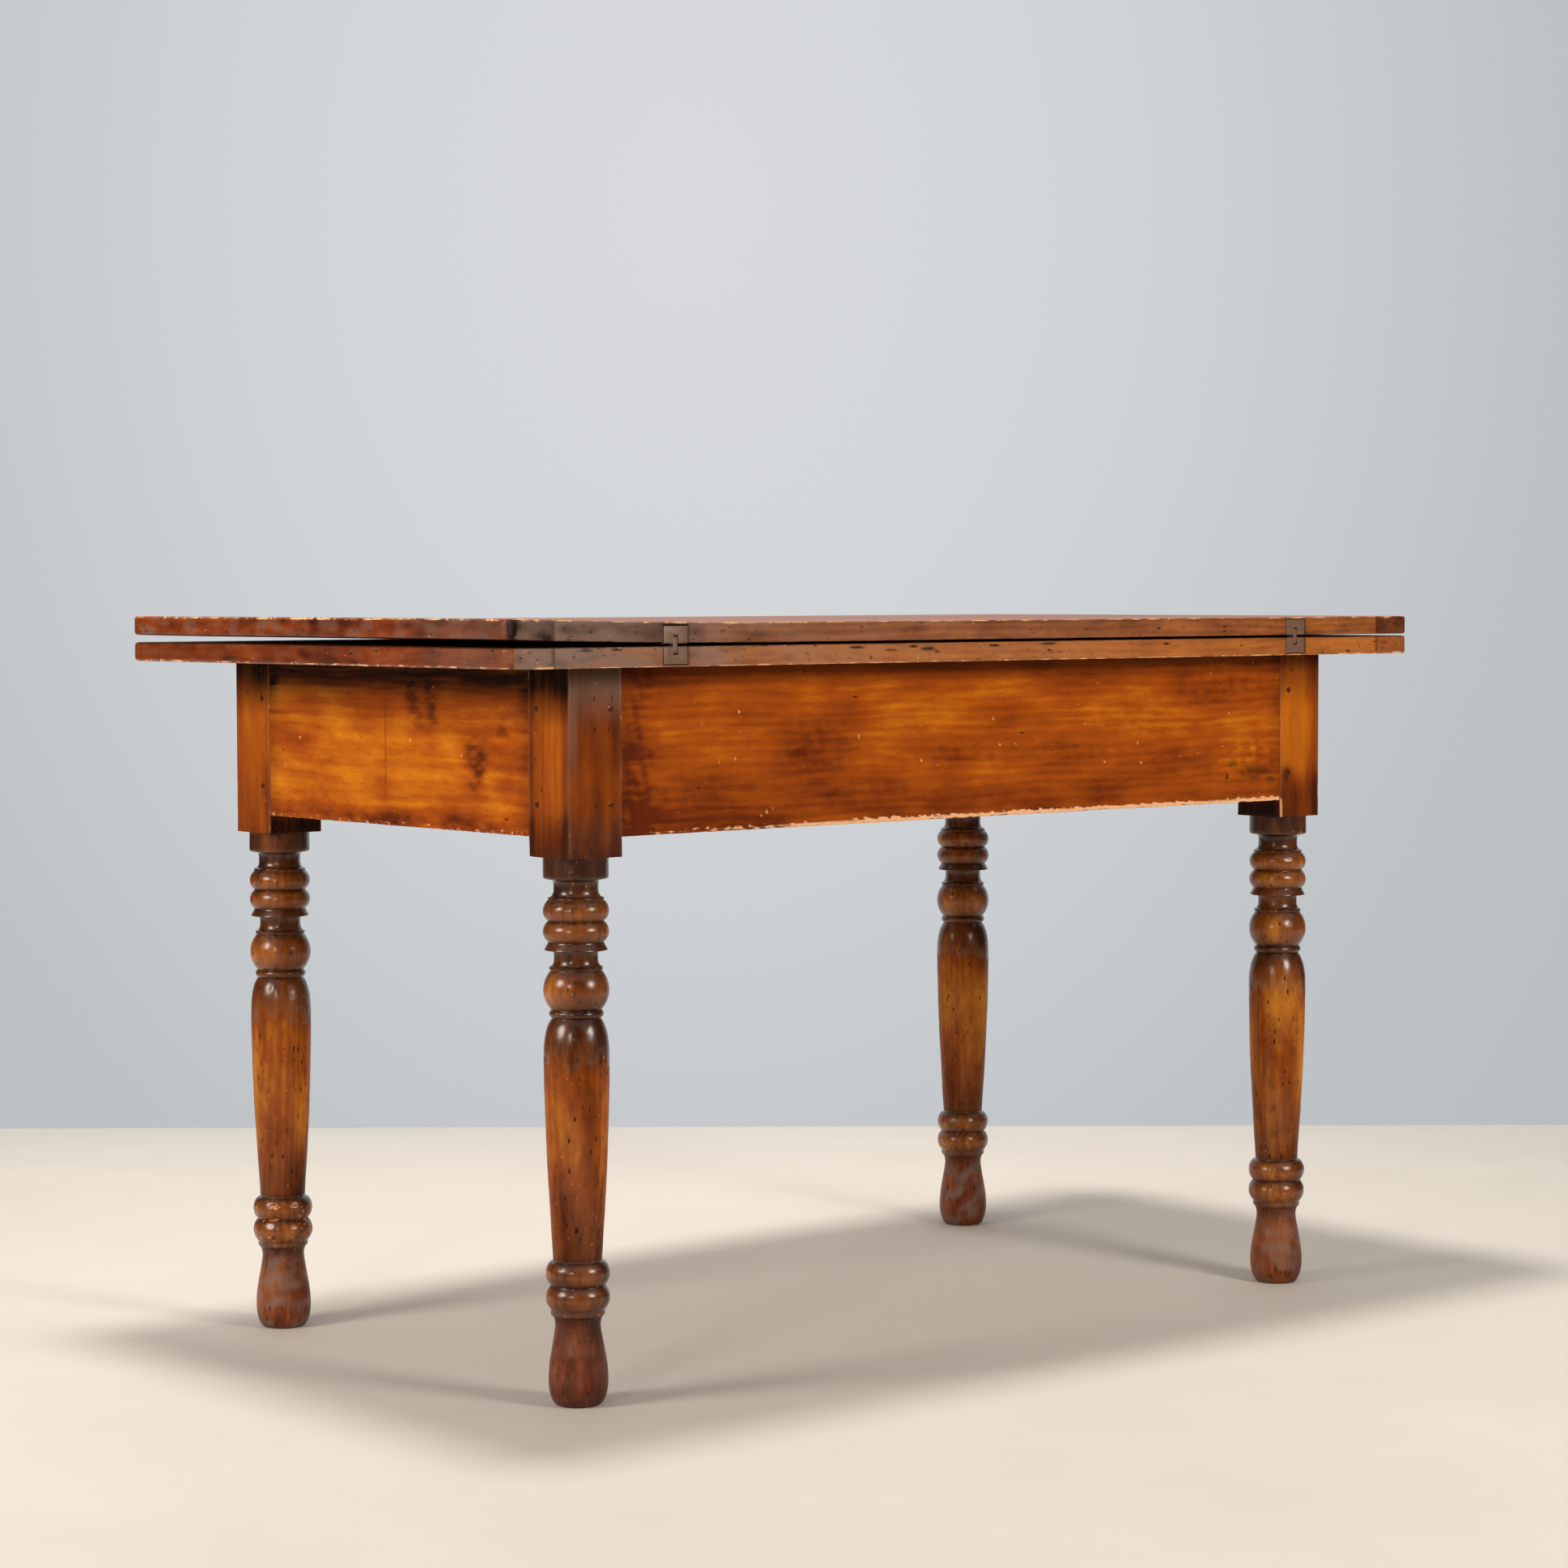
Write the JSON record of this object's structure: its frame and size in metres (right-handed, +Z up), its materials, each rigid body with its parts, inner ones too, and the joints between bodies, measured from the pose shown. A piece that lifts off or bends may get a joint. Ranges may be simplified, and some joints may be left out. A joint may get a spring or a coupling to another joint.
{
  "type": "swivel-top table",
  "caption": "Dining table on turned legs whose folded double top swivels a quarter turn on a pivot and then opens on link hinges to twice its area.",
  "frame": {"origin": "on the floor, under the middle of the closed top", "axes": "+X along the long side of the closed top, to the right of someone who faces the hinged edge; +Y away from the hinged edge, towards the back; +Z up"},
  "size_m": [1.3, 0.7, 0.782],
  "materials": {
    "leg_wood": "turned walnut, stained dark, shellac polished",
    "apron_wood": "walnut, honey orange, shellac polished",
    "peg_wood": "riven hardwood, end grain, darkened",
    "top_wood": "walnut, shellac polished, worn at the arrises",
    "end_wood": "walnut end boards, shellac polished, worn at the arrises",
    "inner_wood": "poplar, planed, unfinished",
    "hinge_iron": "forged iron, filed, brown patina",
    "pivot_iron": "forged iron, rubbed bright where it turns",
    "screw_iron": "iron wood screws, brown patina",
    "nail_iron": "cut iron nails, dark"
  },
  "bodies": {
    "frame": {"leg_front_left": "leg_wood", "leg_front_right": "leg_wood", "leg_back_left": "leg_wood", "leg_back_right": "leg_wood", "front_apron": "apron_wood", "back_apron": "apron_wood", "left_apron": "apron_wood", "right_apron": "apron_wood", "joint_pegs": "peg_wood", "pivot_rail": "inner_wood", "front_ledger": "inner_wood", "back_ledger": "inner_wood", "ledger_nails": "nail_iron", "well_board_1": "inner_wood", "well_board_2": "inner_wood", "well_board_3": "inner_wood", "well_board_4": "inner_wood", "well_board_5": "inner_wood", "well_board_nails": "nail_iron"},
    "lower_leaf": {"lower_front_board": "top_wood", "lower_middle_board": "top_wood", "lower_back_board": "top_wood", "lower_left_end": "end_wood", "lower_right_end": "end_wood", "lower_left_hinge_plate": "hinge_iron", "lower_right_hinge_plate": "hinge_iron", "lower_hinge_pins": "hinge_iron", "lower_hinge_screws": "screw_iron", "pivot_plate": "hinge_iron", "pivot_plate_screws": "screw_iron", "pivot_stud": "pivot_iron", "pivot_washer": "pivot_iron", "pivot_nut": "pivot_iron", "stop_block": "inner_wood", "stop_block_screws": "screw_iron"},
    "hinge_links": {"left_hinge_link": "hinge_iron", "right_hinge_link": "hinge_iron"},
    "upper_leaf": {"upper_front_board": "top_wood", "upper_middle_board": "top_wood", "upper_back_board": "top_wood", "upper_left_end": "end_wood", "upper_right_end": "end_wood", "upper_left_hinge_plate": "hinge_iron", "upper_right_hinge_plate": "hinge_iron", "upper_hinge_pins": "hinge_iron", "upper_hinge_screws": "screw_iron"}
  },
  "joints": [
    {"name": "top_swivel", "type": "hinge", "parent": "frame", "child": "lower_leaf", "pos_m": [-0.175, -0.175, 0.733], "axis": [0, 0, 1], "range_deg": [0, 90]},
    {"name": "link_swing", "type": "hinge", "parent": "lower_leaf", "child": "hinge_links", "pos_m": [0, -0.3456, 0.7493], "axis": [1, 0, 0], "range_deg": [0, 90]},
    {"name": "leaf_fold", "type": "hinge", "parent": "hinge_links", "child": "upper_leaf", "pos_m": [0, -0.3456, 0.7605], "axis": [1, 0, 0], "range_deg": [0, 90]}
  ],
  "couplings": [
    {"joint": "link_swing", "follows": "leaf_fold", "ratio": 1}
  ]
}
